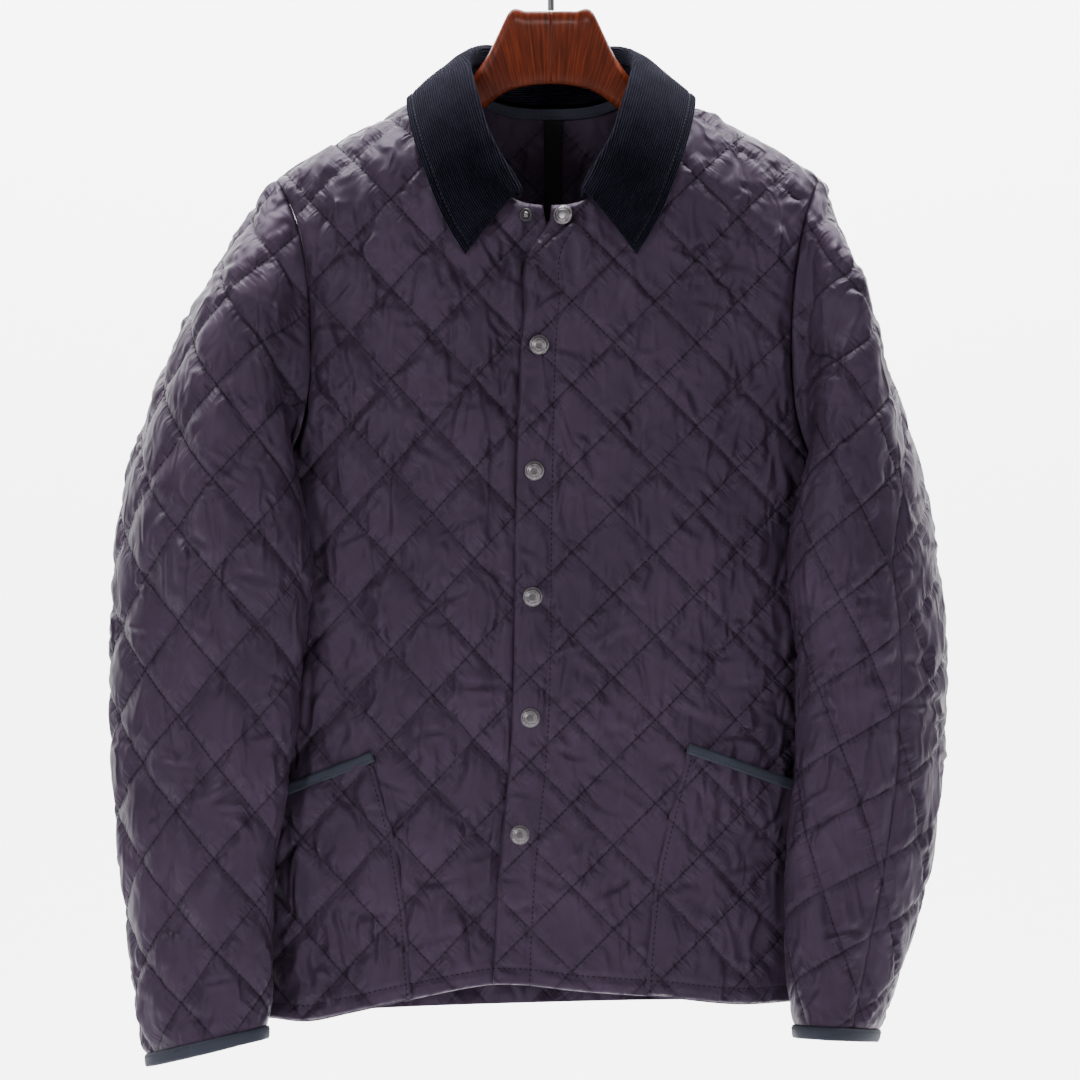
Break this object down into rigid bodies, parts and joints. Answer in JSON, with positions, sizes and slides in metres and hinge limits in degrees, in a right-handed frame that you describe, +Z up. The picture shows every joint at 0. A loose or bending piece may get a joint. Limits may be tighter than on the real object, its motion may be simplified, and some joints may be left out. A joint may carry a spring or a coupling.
{
  "type": "quilted jacket on a wooden hanger",
  "caption": "Long-sleeved quilted jacket with a pointed corduroy collar, snap front and slanted patch pockets, hanging closed on a curved wooden hanger.",
  "frame": {"origin": "inside top of the hanger's hook, where it rests on a rail", "axes": "+Z up; the jacket faces -Y; the wearer's left side is +X"},
  "size_m": [0.6368, 0.1926, 0.8745],
  "materials": {
    "nylon": "satin quilted nylon",
    "corduroy": "matt corduroy",
    "ribbon": "woven ribbon",
    "black_tape": "matt woven tape",
    "snap_metal": "gunmetal",
    "hanger_wood": "gloss varnish",
    "hook_metal": "satin dark grey"
  },
  "bodies": {
    "root": {"back": "nylon", "front_left": "nylon", "front_right": "nylon", "sleeve_left_top": "nylon", "sleeve_left_under": "nylon", "sleeve_right_top": "nylon", "sleeve_right_under": "nylon", "collar": "corduroy", "neck_tape": "ribbon", "back_strip": "black_tape", "pocket_left": "nylon", "pocket_right": "nylon", "pocket_binding_left": "ribbon", "pocket_binding_right": "ribbon", "cuff_binding_left": "ribbon", "cuff_binding_right": "ribbon", "snap_cap_1": "snap_metal", "snap_cap_2": "snap_metal", "snap_cap_3": "snap_metal", "snap_cap_4": "snap_metal", "snap_cap_5": "snap_metal", "snap_cap_neck": "snap_metal", "snap_stud_neck": "snap_metal", "hanger_left": "hanger_wood", "hanger_right": "hanger_wood", "hanger_hook": "hook_metal"}
  },
  "joints": []
}
